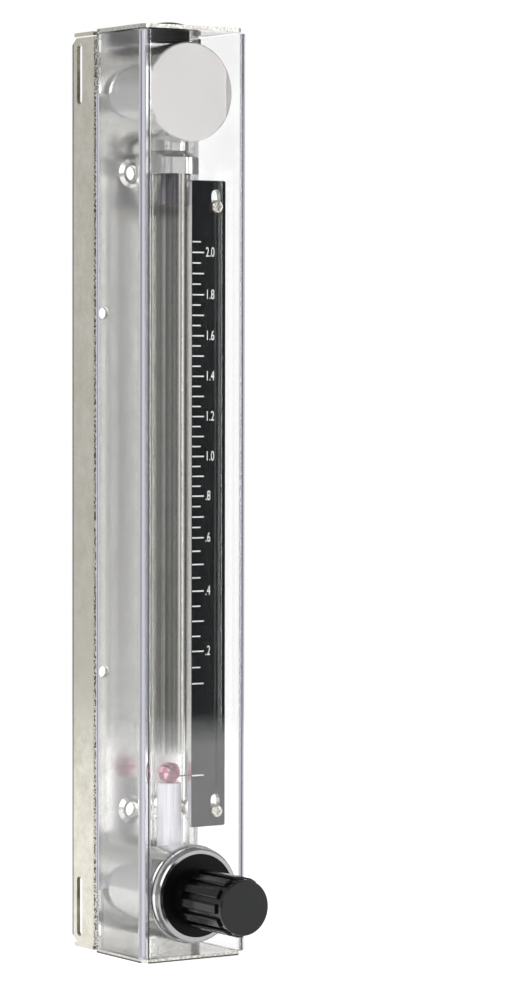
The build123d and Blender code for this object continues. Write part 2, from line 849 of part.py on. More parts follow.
os.makedirs("parts", exist_ok=True)
for piece in (
    meter_bracket,
    mounting_channel,
    shield,
    access_plug,
    inlet_fitting,
    outlet_fitting,
    inlet_locknut,
    outlet_locknut,
    tube_plug,
    tube_plug_o_ring,
    tube_gland,
    gland_o_ring,
    upper_tube_seal,
    lower_tube_seal,
    metering_tube,
    upper_float_stop,
    lower_float_stop,
    float_ball,
    valve_seat,
    valve_stem,
    stem_o_ring,
    bonnet,
    valve_bezel,
    knob,
    knob_set_screw,
    scale_plate,
    scale_standoffs,
    scale_screws,
    standoff_screws,
):
    export_step(piece.part, f"parts/{piece.part.label}.step")
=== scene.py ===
import math

import bmesh
import bpy
from mathutils import Euler, Matrix, Vector


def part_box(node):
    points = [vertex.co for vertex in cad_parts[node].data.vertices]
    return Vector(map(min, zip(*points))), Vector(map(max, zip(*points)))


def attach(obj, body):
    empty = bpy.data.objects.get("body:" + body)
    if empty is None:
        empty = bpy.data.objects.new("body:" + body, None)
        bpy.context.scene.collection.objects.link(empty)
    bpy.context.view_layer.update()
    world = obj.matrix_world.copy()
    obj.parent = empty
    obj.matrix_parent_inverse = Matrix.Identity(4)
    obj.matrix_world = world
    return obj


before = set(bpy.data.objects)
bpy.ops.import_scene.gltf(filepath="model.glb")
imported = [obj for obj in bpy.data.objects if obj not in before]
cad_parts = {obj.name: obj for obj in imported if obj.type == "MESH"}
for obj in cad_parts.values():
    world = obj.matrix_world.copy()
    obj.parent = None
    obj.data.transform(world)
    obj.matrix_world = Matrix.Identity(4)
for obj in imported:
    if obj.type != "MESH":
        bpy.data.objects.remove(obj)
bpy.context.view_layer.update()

# Case: two folded sheets of 1.5 mm stainless steel, back to back, rolled bright, so they mirror a
# little blurred, with faint blotches and an upright grain. Their sheared edges are speckled, pale
# in front and dark farther back. In the lowest band the edges are painted wholly dark as shade,
# and at the channel's rear they are painted wholly dark as a dark reflection.
MM = 0.001
NEUTRAL = "#E2E1DE"
NEUTRAL_SHADE = "#D0CFCB"
WARM = "#D9D6CB"
WARM_SHADE = "#C6C2B4"
SHEARED_PIT_AND_SHADE = "#57544D"
SAWN = "#B4B0A5"
EDGE_TURNS_DARK = 14.0 * MM
# Painted shade: below this height the edges are wholly dark.
PAINTED_SHADE_BELOW = 0.6 * MM
BRACKET_FRONT = -19.0 * MM
BRACKET_SIDE = 22.3 * MM
# This takes in the channel's whole web, so the web's rear face is speckled like an edge too.
CHANNEL_FRONT = 18.2 * MM
# Painted dark reflection: behind this the channel's edges are wholly dark.
CHANNEL_REAR = 33.5 * MM
NO_EDGE = 99.0 * MM
GRAIN_WIDTH = 0.35 * MM
GRAIN_LENGTH = 30 * MM
BLOTCH = 9 * MM
# A finer speckle averages out in the render, so it is drawn this coarse.
SPECKLE = 0.75 * MM


def linear(hex_colour):
    """An sRGB hex colour as linear red, green, blue and alpha."""
    channels = [int(hex_colour[i : i + 2], 16) / 255 for i in (1, 3, 5)]
    return [c / 12.92 if c <= 0.04045 else ((c + 0.055) / 1.055) ** 2.4 for c in channels] + [1.0]


def add(tree, kind, inputs=None, **settings):
    """Adds a node. inputs gives sockets a value or another node's output, settings its options."""
    made = tree.nodes.new(kind)
    for name, value in settings.items():
        setattr(made, name, value)
    for name, value in (inputs or {}).items():
        if isinstance(value, bpy.types.NodeSocket):
            tree.links.new(value, made.inputs[name])
        else:
            made.inputs[name].default_value = value
    return made


def new_material(name):
    """An empty material: its node tree and its output node."""
    material = bpy.data.materials.new(name)
    material.use_nodes = True
    material.node_tree.nodes.clear()
    return material, material.node_tree, add(material.node_tree, "ShaderNodeOutputMaterial")


def dress(material, *names):
    """Gives the CAD nodes of these names a material."""
    for name in names:
        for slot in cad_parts[name].material_slots:
            slot.material = material


for name, node, colour, shade, front_edge, side_edge, rear_edge in (
    ("bracket_stainless", "meter_bracket", NEUTRAL, NEUTRAL_SHADE, BRACKET_FRONT, BRACKET_SIDE,
     NO_EDGE),
    ("channel_stainless", "mounting_channel", WARM, WARM_SHADE, CHANNEL_FRONT, NO_EDGE,
     CHANNEL_REAR),
):
    stainless, tree, output = new_material(name)
    place = add(tree, "ShaderNodeTexCoord")
    along = add(tree, "ShaderNodeMapping", {
        "Vector": place.outputs["Object"],
        "Scale": (1 / GRAIN_WIDTH, 1 / GRAIN_WIDTH, 1 / GRAIN_LENGTH),
    })
    grain = add(tree, "ShaderNodeTexNoise", {"Vector": along.outputs["Vector"], "Scale": 1.0,
                                             "Detail": 3.0, "Roughness": 0.6})
    blotches = add(tree, "ShaderNodeTexNoise", {"Vector": place.outputs["Object"],
                                                "Scale": 1 / BLOTCH, "Detail": 6.0,
                                                "Roughness": 0.75})
    spread = add(tree, "ShaderNodeMapRange", {"Value": blotches.outputs["Fac"],
                                              "From Min": 0.38, "From Max": 0.66})
    tone = add(tree, "ShaderNodeMix", {
        "Factor": spread.outputs["Result"], "A": linear(colour), "B": linear(shade),
    }, data_type="RGBA")
    gloss = add(tree, "ShaderNodeMapRange", {"Value": spread.outputs["Result"],
                                             "To Min": 0.16, "To Max": 0.26})
    relief = add(tree, "ShaderNodeBump", {"Height": grain.outputs["Fac"], "Strength": 0.08,
                                          "Distance": 0.02 * MM})
    sheet = add(tree, "ShaderNodeBsdfPrincipled", {
        "Base Color": tone.outputs["Result"], "Metallic": 1.0,
        "Roughness": gloss.outputs["Result"], "Normal": relief.outputs["Normal"],
    })
    specks = add(tree, "ShaderNodeTexNoise", {"Vector": place.outputs["Object"],
                                              "Scale": 1 / SPECKLE, "Detail": 4.0})
    torn = add(tree, "ShaderNodeMapRange", {"Value": specks.outputs["Fac"], "From Min": 0.44,
                                            "From Max": 0.56})
    where = add(tree, "ShaderNodeSeparateXYZ", {"Vector": place.outputs["Object"]})
    at_front = add(tree, "ShaderNodeMath", {0: where.outputs["Y"], 1: front_edge},
                   operation="LESS_THAN")
    behind = add(tree, "ShaderNodeMath", {0: where.outputs["Y"], 1: EDGE_TURNS_DARK},
                 operation="GREATER_THAN")
    # Painted shade: the edges in the lowest band are dark.
    low = add(tree, "ShaderNodeMath", {0: where.outputs["Z"], 1: PAINTED_SHADE_BELOW},
              operation="LESS_THAN")
    dark = add(tree, "ShaderNodeMath", {0: behind.outputs["Value"], 1: low.outputs["Value"]},
               operation="MAXIMUM")
    pit_and_shade_tone = add(tree, "ShaderNodeMix", {
        "Factor": dark.outputs["Value"], "A": linear(SAWN), "B": linear(SHEARED_PIT_AND_SHADE),
    }, data_type="RGBA")
    at_rear = add(tree, "ShaderNodeMath", {0: where.outputs["Y"], 1: rear_edge},
                  operation="GREATER_THAN")
    # Painted shade in the lowest band and a painted dark reflection at the channel's rear: no pale
    # speck is kept there.
    painted_dark_edge = add(tree, "ShaderNodeMath", {0: at_rear.outputs["Value"],
                                            1: low.outputs["Value"]}, operation="MAXIMUM")
    kept = add(tree, "ShaderNodeMath", {0: torn.outputs["Result"], 1: painted_dark_edge.outputs["Value"]},
               operation="SUBTRACT", use_clamp=True)
    edge_tone = add(tree, "ShaderNodeMix", {
        "Factor": kept.outputs["Value"], "A": pit_and_shade_tone.outputs["Result"], "B": linear(colour),
    }, data_type="RGBA")
    rough = add(tree, "ShaderNodeBump", {"Height": specks.outputs["Fac"], "Strength": 0.3,
                                         "Distance": 0.12 * MM})
    cut = add(tree, "ShaderNodeBsdfPrincipled", {
        "Base Color": edge_tone.outputs["Result"], "Metallic": 1.0, "Roughness": 0.4,
        "Normal": rough.outputs["Normal"],
    })
    aside = add(tree, "ShaderNodeMath", {0: where.outputs["X"]}, operation="ABSOLUTE")
    at_side = add(tree, "ShaderNodeMath", {0: aside.outputs["Value"], 1: side_edge},
                  operation="GREATER_THAN")
    before = add(tree, "ShaderNodeMath", {0: at_side.outputs["Value"],
                                          1: at_front.outputs["Value"]}, operation="MAXIMUM")
    edge = add(tree, "ShaderNodeMath", {0: before.outputs["Value"], 1: at_rear.outputs["Value"]},
               operation="MAXIMUM")
    steel = add(tree, "ShaderNodeMixShader", {
        "Fac": edge.outputs["Value"], 1: sheet.outputs["BSDF"], 2: cut.outputs["BSDF"],
    })
    tree.links.new(steel.outputs["Shader"], output.inputs["Surface"])
    dress(stainless, node)

# Fittings, locknuts, gland, plug, bonnet and stem: steel bar turned on a lathe. Fine tool rings
# run round each piece's own axis. The upper disc's face shines in a fan, and the rest mirrors
# more clearly.
TURNED = "#C8C8C7"
FACED = "#C6C4C3"
# Painted shade and dark reflection: the turned steel at the very front, at the lower fitting's
# nose, is drawn darker.
PAINTED_NOSE_SHADE = "#A5A4A3"
NOSE_FROM = -15.0 * MM
# The noise's own scale of 3 draws three rings to a group.
RING_GROUP = 0.25 * MM
RING_REACH = 50 * MM
for name, axis, end_colour, front_colour, end_gloss, fan, names in (
    ("faced_steel", "Y", FACED, FACED, 0.42, 0.3, ("outlet_fitting",)),
    ("polished_steel_Y", "Y", TURNED, PAINTED_NOSE_SHADE, 0.14, 0.0,
     ("inlet_fitting", "inlet_locknut", "outlet_locknut", "bonnet", "valve_stem")),
    ("polished_steel_Z", "Z", TURNED, PAINTED_NOSE_SHADE, 0.14, 0.0, ("tube_gland", "tube_plug")),
):
    turned, tree, output = new_material(name)
    place = add(tree, "ShaderNodeTexCoord")
    squeeze = add(tree, "ShaderNodeMapping", {
        "Vector": place.outputs["Object"],
        "Scale": (1 / RING_REACH, 1 / RING_GROUP, 1 / RING_REACH) if axis == "Y" else
                 (1 / RING_REACH, 1 / RING_REACH, 1 / RING_GROUP),
    })
    rings = add(tree, "ShaderNodeTexNoise", {"Vector": squeeze.outputs["Vector"], "Scale": 3.0,
                                             "Detail": 4.0})
    relief = add(tree, "ShaderNodeBump", {"Height": rings.outputs["Fac"], "Strength": 0.05,
                                          "Distance": 0.02 * MM})
    facing = add(tree, "ShaderNodeSeparateXYZ", {"Vector": place.outputs["Normal"]})
    along = add(tree, "ShaderNodeMath", {0: facing.outputs[axis]}, operation="ABSOLUTE")
    end_face = add(tree, "ShaderNodeMapRange", {"Value": along.outputs["Value"], "From Min": 0.8,
                                                "From Max": 0.95})
    sides_and_ends = add(tree, "ShaderNodeMix", {
        "Factor": end_face.outputs["Result"], "A": linear(TURNED), "B": linear(end_colour),
    }, data_type="RGBA")
    where = add(tree, "ShaderNodeSeparateXYZ", {"Vector": place.outputs["Object"]})
    # Ahead of this the steel takes the front colour, darker on the nose as painted shade and dark
    # reflection.
    in_front = add(tree, "ShaderNodeMath", {0: where.outputs["Y"], 1: NOSE_FROM},
                   operation="LESS_THAN")
    tone = add(tree, "ShaderNodeMix", {
        "Factor": in_front.outputs["Value"], "A": sides_and_ends.outputs["Result"],
        "B": linear(front_colour),
    }, data_type="RGBA")
    gloss = add(tree, "ShaderNodeMapRange", {"Value": end_face.outputs["Result"],
                                             "To Min": 0.18, "To Max": end_gloss})
    round_axis = add(tree, "ShaderNodeTangent", direction_type="RADIAL", axis=axis)
    steel = add(tree, "ShaderNodeBsdfPrincipled", {
        "Base Color": tone.outputs["Result"], "Metallic": 1.0,
        "Roughness": gloss.outputs["Result"], "Anisotropic": fan,
        "Tangent": round_axis.outputs["Tangent"], "Normal": relief.outputs["Normal"],
    })
    tree.links.new(steel.outputs["BSDF"], output.inputs["Surface"])
    dress(turned, *names)

# Seals and stops: PTFE, turned from white rod, waxy and slightly see-through, with upright
# streaks. The thin upper stop looks greyer, so it is drawn in a greyer copy of the same PTFE.
# The O-rings are moulded black rubber.
PTFE = "#F3F1F7"
GREYER_PTFE = "#9C98A6"
PTFE_STREAK = 1.1 * MM
PTFE_STRETCH = 0.04
PTFE_SHADE = 0.78
RUBBER = "#141414"
RUBBER_GRAIN = MM / 1.5
for name, colour, names in (
    ("white_ptfe", PTFE, ("upper_tube_seal", "lower_tube_seal", "lower_float_stop", "valve_seat")),
    ("greyer_ptfe", GREYER_PTFE, ("upper_float_stop",)),
):
    ptfe, tree, output = new_material(name)
    place = add(tree, "ShaderNodeTexCoord")
    along = add(tree, "ShaderNodeMapping", {
        "Vector": place.outputs["Object"],
        "Scale": (1 / PTFE_STREAK, 1 / PTFE_STREAK, PTFE_STRETCH / PTFE_STREAK),
    })
    haze = add(tree, "ShaderNodeTexNoise", {"Vector": along.outputs["Vector"], "Scale": 1.0,
                                            "Detail": 2.0})
    gloss = add(tree, "ShaderNodeMapRange", {"Value": haze.outputs["Fac"], "To Min": 0.4,
                                             "To Max": 0.55})
    streaks = add(tree, "ShaderNodeMapRange", {"Value": haze.outputs["Fac"], "From Min": 0.35,
                                               "From Max": 0.65, "To Min": PTFE_SHADE})
    tone = add(tree, "ShaderNodeMix", {"A": linear("#000000"), "B": linear(colour),
                                       "Factor": streaks.outputs["Result"]}, data_type="RGBA")
    wax = add(tree, "ShaderNodeBsdfPrincipled", {
        "Base Color": tone.outputs["Result"], "Roughness": gloss.outputs["Result"], "IOR": 1.35,
        "Subsurface Weight": 0.3, "Subsurface Radius": (0.8, 0.8, 0.8),
        "Subsurface Scale": 1.5 * MM,
    })
    tree.links.new(wax.outputs["BSDF"], output.inputs["Surface"])
    dress(ptfe, *names)

rubber, tree, output = new_material("black_rubber")
place = add(tree, "ShaderNodeTexCoord")
haze = add(tree, "ShaderNodeTexNoise", {"Vector": place.outputs["Object"],
                                        "Scale": 1 / RUBBER_GRAIN})
relief = add(tree, "ShaderNodeBump", {"Height": haze.outputs["Fac"], "Strength": 0.1,
                                      "Distance": 0.02 * MM})
skin = add(tree, "ShaderNodeBsdfPrincipled", {
    "Base Color": linear(RUBBER), "Roughness": 0.55, "Normal": relief.outputs["Normal"],
})
tree.links.new(skin.outputs["BSDF"], output.inputs["Surface"])
dress(rubber, "tube_plug_o_ring", "gland_o_ring", "stem_o_ring")

# Metering tube: thick borosilicate glass, drawn over a mandrel, so its bore has three flats and
# the glass has long upright streaks, also painted darker as shade. The bore's front corner gathers
# light into a bright strip, drawn as a painted highlight that glows, the flat left of it is painted
# dark as shade, and below the scale the glass bends light less.
BOROSILICATE = "#FEFEFE"
# Painted shade: the colour the streaks darken the glass to.
PAINTED_STREAK_SHADE = "#96958F"
SHADED_GLASS = "#7C7C78"
# Painted highlight: the bright strip on the bore's front corner glows in this colour.
PAINTED_STRIP_GLOW = "#DCDAD4"
PAINTED_GLOW_SHARE = 0.7
BORE_WITHIN = 7 * MM
CORNER_AT = math.radians(10)
CORNER_HALF = math.radians(10)
FLAT_AT = math.radians(-28)
FLAT_HALF = math.radians(23)
DRAWN_STREAK = 1.1 * MM
DRAWN_STRETCH = 0.0006
# A ray's turns are whole numbers, so a limit lies between two of them.
MIRRORED_ONCE = 0.5
PLAIN_BELOW = 77 * MM
FADES_OVER = 6 * MM


def clear_shader(tree, colour, ior, roughness, shine=0.5, **links):
    """A clear body that bends light but lets the lamps shine through it."""
    body = add(tree, "ShaderNodeBsdfPrincipled", {
        "Base Color": linear(colour), "Roughness": roughness, "IOR": ior,
        "Transmission Weight": 1.0, "Specular IOR Level": shine,
    })
    for name, socket in links.items():
        tree.links.new(socket, body.inputs[name.replace("_", " ")])
    open_way = add(tree, "ShaderNodeBsdfTransparent", {"Color": linear(colour)})
    ray = add(tree, "ShaderNodeLightPath")
    return add(tree, "ShaderNodeMixShader", {
        "Fac": ray.outputs["Is Shadow Ray"], 1: body.outputs["BSDF"], 2: open_way.outputs["BSDF"],
    })


glass, tree, output = new_material("borosilicate_glass")
place = add(tree, "ShaderNodeTexCoord")
along = add(tree, "ShaderNodeMapping", {
    "Vector": place.outputs["Object"],
    "Scale": (1 / DRAWN_STREAK, 1 / DRAWN_STREAK, DRAWN_STRETCH / DRAWN_STREAK),
})
streaks = add(tree, "ShaderNodeTexNoise", {"Vector": along.outputs["Vector"], "Scale": 1.0,
                                           "Detail": 3.0})
relief = add(tree, "ShaderNodeBump", {"Height": streaks.outputs["Fac"], "Strength": 0.35,
                                      "Distance": 0.1 * MM})
unshaded_streaks = add(tree, "ShaderNodeMapRange", {"Value": streaks.outputs["Fac"], "From Min": 0.42,
                                         "From Max": 0.6})
# Seen in the steel, the tube lacks the streaks' painted shade.
path = add(tree, "ShaderNodeLightPath")
mirrored = add(tree, "ShaderNodeMath", {0: path.outputs["Glossy Depth"], 1: MIRRORED_ONCE},
               operation="GREATER_THAN")
unshaded = add(tree, "ShaderNodeMath", {0: unshaded_streaks.outputs["Result"], 1: mirrored.outputs["Value"]},
           operation="MAXIMUM")
streaky = add(tree, "ShaderNodeMix", {
    "Factor": unshaded.outputs["Value"], "A": linear(PAINTED_STREAK_SHADE), "B": linear(BOROSILICATE),
}, data_type="RGBA")
where = add(tree, "ShaderNodeSeparateXYZ", {"Vector": place.outputs["Object"]})
from_axis = add(tree, "ShaderNodeVectorMath", {0: place.outputs["Object"], 1: (1.0, 1.0, 0.0)},
                operation="MULTIPLY")
radius = add(tree, "ShaderNodeVectorMath", {0: from_axis.outputs["Vector"]}, operation="LENGTH")
in_bore = add(tree, "ShaderNodeMath", {0: radius.outputs["Value"], 1: BORE_WITHIN},
              operation="LESS_THAN")
forward = add(tree, "ShaderNodeMath", {0: where.outputs["Y"], 1: -1.0}, operation="MULTIPLY")
round_bore = add(tree, "ShaderNodeMath", {0: where.outputs["X"], 1: forward.outputs["Value"]},
                 operation="ARCTAN2")
at_corner = add(tree, "ShaderNodeMath", {0: round_bore.outputs["Value"], 1: CORNER_AT,
                                         2: CORNER_HALF}, operation="COMPARE")
at_flat = add(tree, "ShaderNodeMath", {0: round_bore.outputs["Value"], 1: FLAT_AT,
                                       2: FLAT_HALF}, operation="COMPARE")
shaded = add(tree, "ShaderNodeMath", {0: at_flat.outputs["Value"], 1: in_bore.outputs["Value"]},
             operation="MULTIPLY")
tone = add(tree, "ShaderNodeMix", {
    "Factor": shaded.outputs["Value"], "A": streaky.outputs["Result"], "B": linear(SHADED_GLASS),
}, data_type="RGBA")
clear = clear_shader(tree, BOROSILICATE, 1.47, 0.0, shine=1.0,
                     Base_Color=tone.outputs["Result"], Normal=relief.outputs["Normal"])
plain = clear_shader(tree, BOROSILICATE, 1.2, 0.0)
fluted = add(tree, "ShaderNodeMapRange", {"Value": where.outputs["Z"],
                                          "From Min": PLAIN_BELOW,
                                          "From Max": PLAIN_BELOW + FADES_OVER})
tube = add(tree, "ShaderNodeMixShader", {
    "Fac": fluted.outputs["Result"], 1: plain.outputs["Shader"], 2: clear.outputs["Shader"],
})
# Painted highlight: above the plain part, the bore's front corner glows as a bright strip.
bright = add(tree, "ShaderNodeMath", {0: at_corner.outputs["Value"], 1: in_bore.outputs["Value"]},
             operation="MULTIPLY")
above = add(tree, "ShaderNodeMath", {0: bright.outputs["Value"], 1: fluted.outputs["Result"]},
            operation="MULTIPLY")
share = add(tree, "ShaderNodeMath", {0: above.outputs["Value"], 1: PAINTED_GLOW_SHARE},
            operation="MULTIPLY")
painted_glow = add(tree, "ShaderNodeEmission", {"Color": linear(PAINTED_STRIP_GLOW), "Strength": 1.0})
lit_tube = add(tree, "ShaderNodeMixShader", {
    "Fac": share.outputs["Value"], 1: tube.outputs["Shader"], 2: painted_glow.outputs["Emission"],
})
tree.links.new(lit_tube.outputs["Shader"], output.inputs["Surface"])
dress(glass, "metering_tube")

# Float: a ball of synthetic ruby, 5/16 inch, ground and polished, that lies loose in the bore. It
# is pink where it is thick and pale at its rim.
RUBY = "#CB8BA1"
ruby, tree, output = new_material("synthetic_ruby")
clear = clear_shader(tree, RUBY, 1.76, 0.03)
tree.links.new(clear.outputs["Shader"], output.inputs["Surface"])
dress(ruby, "float_ball")

# Scale plate: aluminium sheet, black on its face only and then cut, so its edges and its back
# are bare. The back is satin, and the sheet behind mirrors it.
ANODISED = "#141718"
BARE_ALUMINIUM = "#ECEDEE"
WAVE = 14 * MM
anodised, tree, output = new_material("black_anodised_aluminium")
place = add(tree, "ShaderNodeTexCoord")
facing = add(tree, "ShaderNodeSeparateXYZ", {"Vector": place.outputs["Normal"]})
face = add(tree, "ShaderNodeMath", {0: facing.outputs["Y"], 1: -0.5}, operation="LESS_THAN")
waves = add(tree, "ShaderNodeTexNoise", {"Vector": place.outputs["Object"], "Scale": 1 / WAVE})
relief = add(tree, "ShaderNodeBump", {"Height": waves.outputs["Fac"], "Strength": 1.0,
                                      "Distance": 0.06 * MM})
oxide = add(tree, "ShaderNodeBsdfPrincipled", {
    "Base Color": linear(ANODISED), "Roughness": 0.05, "Normal": relief.outputs["Normal"],
})
bare = add(tree, "ShaderNodeBsdfPrincipled", {
    "Base Color": linear(BARE_ALUMINIUM), "Metallic": 1.0, "Roughness": 0.25,
})
plate_mix = add(tree, "ShaderNodeMixShader", {
    "Fac": face.outputs["Value"], 1: bare.outputs["BSDF"], 2: oxide.outputs["BSDF"],
})
tree.links.new(plate_mix.outputs["Shader"], output.inputs["Surface"])
dress(anodised, "scale_plate")

# Scale print: white ink, screen printed on the plate's face. A line for every 0.05, a longer one
# for every 0.1 and a number for every 0.2, spaced as the meter was calibrated.
INK = "#E9EAE8"
INK_THICKNESS = 0.02 * MM
INK_GRAIN = MM / 3
LINE = 0.5 * MM
LONG_LINE = 5.3 * MM
SHORT_LINE = 3.8 * MM
LINE_FROM_EDGE = 0.3 * MM
LINE_STEP = 0.05
NUMBER_SIZE = 5.3 * MM
NUMBER_NARROWED = 0.64
NUMBER_FROM_EDGE = 6.3 * MM
ZERO_HEIGHT = 69.9 * MM
CALIBRATION = ((2.0, 271.9), (1.8, 255.6), (1.6, 239.8), (1.4, 224.2), (1.2, 208.7), (1.0, 193.3),
               (0.8, 178.0), (0.6, 161.9), (0.4, 141.3), (0.2, 118.0), (0.1, 105.5))
ink, tree, output = new_material("white_ink")
place = add(tree, "ShaderNodeTexCoord")
haze = add(tree, "ShaderNodeTexNoise", {"Vector": place.outputs["Object"], "Scale": 1 / INK_GRAIN})
gloss = add(tree, "ShaderNodeMapRange", {"Value": haze.outputs["Fac"], "To Min": 0.45,
                                         "To Max": 0.65})
paint = add(tree, "ShaderNodeBsdfPrincipled", {"Base Color": linear(INK),
                                               "Roughness": gloss.outputs["Result"]})
tree.links.new(paint.outputs["BSDF"], output.inputs["Surface"])
plate_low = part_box("scale_plate")[0]
plate_face = plate_low[1]
left_edge = plate_low[0]

# One line more stands above the highest number.
top_gap = (CALIBRATION[0][1] - CALIBRATION[1][1]) / 4
lines = [(CALIBRATION[0][0] + LINE_STEP, CALIBRATION[0][1] + top_gap)]
for (upper, upper_height), (lower, lower_height) in zip(CALIBRATION, CALIBRATION[1:]):
    steps = round((upper - lower) / LINE_STEP)
    for i in range(steps):
        height = upper_height + (lower_height - upper_height) * i / steps
        lines.append((upper - LINE_STEP * i, height))
lines.append(CALIBRATION[-1])
form = bmesh.new()
marks = [(height * MM, LONG_LINE if round(value * 100) % 10 == 0 else SHORT_LINE)
         for value, height in lines] + [(ZERO_HEIGHT, LONG_LINE)]
for height, length in marks:
    size = Matrix.Diagonal((length, INK_THICKNESS, LINE, 1.0))
    middle = Matrix.Translation((left_edge + LINE_FROM_EDGE + length / 2,
                                 plate_face - INK_THICKNESS / 2, height))
    bmesh.ops.create_cube(form, size=1.0, matrix=middle @ size)
mark_mesh = bpy.data.meshes.new("scale_lines")
form.to_mesh(mark_mesh)
form.free()
scale_lines = bpy.data.objects.new("scale_lines", mark_mesh)
mark_mesh.materials.append(ink)
bpy.context.scene.collection.objects.link(scale_lines)
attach(scale_lines, "scale")
for value, height in CALIBRATION[:-1]:
    number = bpy.data.curves.new(f"scale_number_{round(value * 10):02d}", "FONT")
    number.body = f"{value:.1f}".removeprefix("0") if value < 1 else f"{value:.1f}"
    number.size = NUMBER_SIZE
    number.extrude = INK_THICKNESS / 2
    number.align_y = "CENTER"
    number.materials.append(ink)
    printed = bpy.data.objects.new(number.name, number)
    bpy.context.scene.collection.objects.link(printed)
    printed.location = (left_edge + NUMBER_FROM_EDGE, plate_face - INK_THICKNESS / 2,
                        height * MM)
    printed.rotation_euler = (math.pi / 2, 0.0, 0.0)
    printed.scale = (NUMBER_NARROWED, 1.0, 1.0)
    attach(printed, "scale")

# Zero line on the tube: dark ceramic ink, fired on the glass level with the scale's lowest line,
# over the quarter of the tube that faces the scale.
CERAMIC_INK = "#4A3F47"
INK_FROM = math.radians(-10)
INK_TO = math.radians(66)
INK_STEPS = 24
fired, tree, output = new_material("fired_ceramic_ink")
place = add(tree, "ShaderNodeTexCoord")
haze = add(tree, "ShaderNodeTexNoise", {"Vector": place.outputs["Object"], "Scale": 1 / INK_GRAIN})
gloss = add(tree, "ShaderNodeMapRange", {"Value": haze.outputs["Fac"], "To Min": 0.3,
                                         "To Max": 0.5})
paint = add(tree, "ShaderNodeBsdfPrincipled", {"Base Color": linear(CERAMIC_INK),
                                               "Roughness": gloss.outputs["Result"]})
tree.links.new(paint.outputs["BSDF"], output.inputs["Surface"])
tube_low, tube_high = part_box("metering_tube")
tube_middle = [(low + high) / 2 for low, high in zip(tube_low, tube_high)]
tube_radius = (tube_high[0] - tube_low[0]) / 2
form = bmesh.new()
rings = []
for i in range(INK_STEPS + 1):
    angle = INK_FROM + (INK_TO - INK_FROM) * i / INK_STEPS
    ring = []
    for proud, rise in ((0, -LINE / 2), (INK_THICKNESS, -LINE / 2), (INK_THICKNESS, LINE / 2),
                        (0, LINE / 2)):
        reach = tube_radius + proud
        ring.append(form.verts.new((tube_middle[0] + reach * math.sin(angle),
                                    tube_middle[1] - reach * math.cos(angle),
                                    ZERO_HEIGHT + rise)))
    rings.append(ring)
for one, next_one in zip(rings, rings[1:]):
    for k in range(4):
        form.faces.new((one[k], one[(k + 1) % 4], next_one[(k + 1) % 4], next_one[k]))
form.faces.new(rings[0][::-1])
form.faces.new(rings[-1])
bmesh.ops.recalc_face_normals(form, faces=form.faces)
line_mesh = bpy.data.meshes.new("tube_zero_line")
form.to_mesh(line_mesh)
form.free()
line_mesh.materials.append(fired)
tube_line = bpy.data.objects.new("tube_zero_line", line_mesh)
bpy.context.scene.collection.objects.link(tube_line)
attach(tube_line, "case")

# Standoffs, screws and the knob's grub screw: zinc-plated steel, bright with a faint warm cast.
# They carry the scale plate in front of the web and hold the knob on its stem.
ZINC = "#CFCBC2"
ZINC_CLOUD = 1.25 * MM
zinc, tree, output = new_material("zinc_plated_steel")
place = add(tree, "ShaderNodeTexCoord")
haze = add(tree, "ShaderNodeTexNoise", {"Vector": place.outputs["Object"], "Scale": 1 / ZINC_CLOUD})
gloss = add(tree, "ShaderNodeMapRange", {"Value": haze.outputs["Fac"], "To Min": 0.18,
                                         "To Max": 0.32})
plating = add(tree, "ShaderNodeBsdfPrincipled", {
    "Base Color": linear(ZINC), "Metallic": 1.0, "Roughness": gloss.outputs["Result"],
})
tree.links.new(plating.outputs["BSDF"], output.inputs["Surface"])
dress(zinc, "scale_standoffs", "scale_screws", "standoff_screws", "knob_set_screw")

# Knob: black phenolic, moulded, held on the valve stem by the grub screw. Its ribbed side is
# glossy from the mould, and its end is satin.
PHENOLIC = "#080909"
MOULD_GRAIN = MM / 1.8
phenolic, tree, output = new_material("black_phenolic")
place = add(tree, "ShaderNodeTexCoord")
facing = add(tree, "ShaderNodeSeparateXYZ", {"Vector": place.outputs["Normal"]})
gloss = add(tree, "ShaderNodeMapRange", {"Value": facing.outputs["Y"], "From Min": -0.95,
                                         "From Max": -0.8, "To Min": 0.34, "To Max": 0.16})
haze = add(tree, "ShaderNodeTexNoise", {"Vector": place.outputs["Object"],
                                        "Scale": 1 / MOULD_GRAIN})
relief = add(tree, "ShaderNodeBump", {"Height": haze.outputs["Fac"], "Strength": 0.08,
                                      "Distance": 0.02 * MM})
resin = add(tree, "ShaderNodeBsdfPrincipled", {
    "Base Color": linear(PHENOLIC), "Roughness": gloss.outputs["Result"],
    "Specular IOR Level": 0.35, "Normal": relief.outputs["Normal"],
})
tree.links.new(resin.outputs["BSDF"], output.inputs["Surface"])
dress(phenolic, "knob")

# Bezel disc and access plug: black nylon, moulded, with a satin skin. The disc sits at the lower
# fitting's nose behind the knob, and the plug closes the hole in the top plate.
NYLON = "#040404"
SATIN_GRAIN = MM / 1.2
nylon, tree, output = new_material("black_nylon")
place = add(tree, "ShaderNodeTexCoord")
haze = add(tree, "ShaderNodeTexNoise", {"Vector": place.outputs["Object"],
                                        "Scale": 1 / SATIN_GRAIN})
relief = add(tree, "ShaderNodeBump", {"Height": haze.outputs["Fac"], "Strength": 0.1,
                                      "Distance": 0.02 * MM})
moulded = add(tree, "ShaderNodeBsdfPrincipled", {
    "Base Color": linear(NYLON), "Roughness": 0.4, "Specular IOR Level": 0.12,
    "Normal": relief.outputs["Normal"],
})
tree.links.new(moulded.outputs["BSDF"], output.inputs["Surface"])
dress(nylon, "valve_bezel", "access_plug")

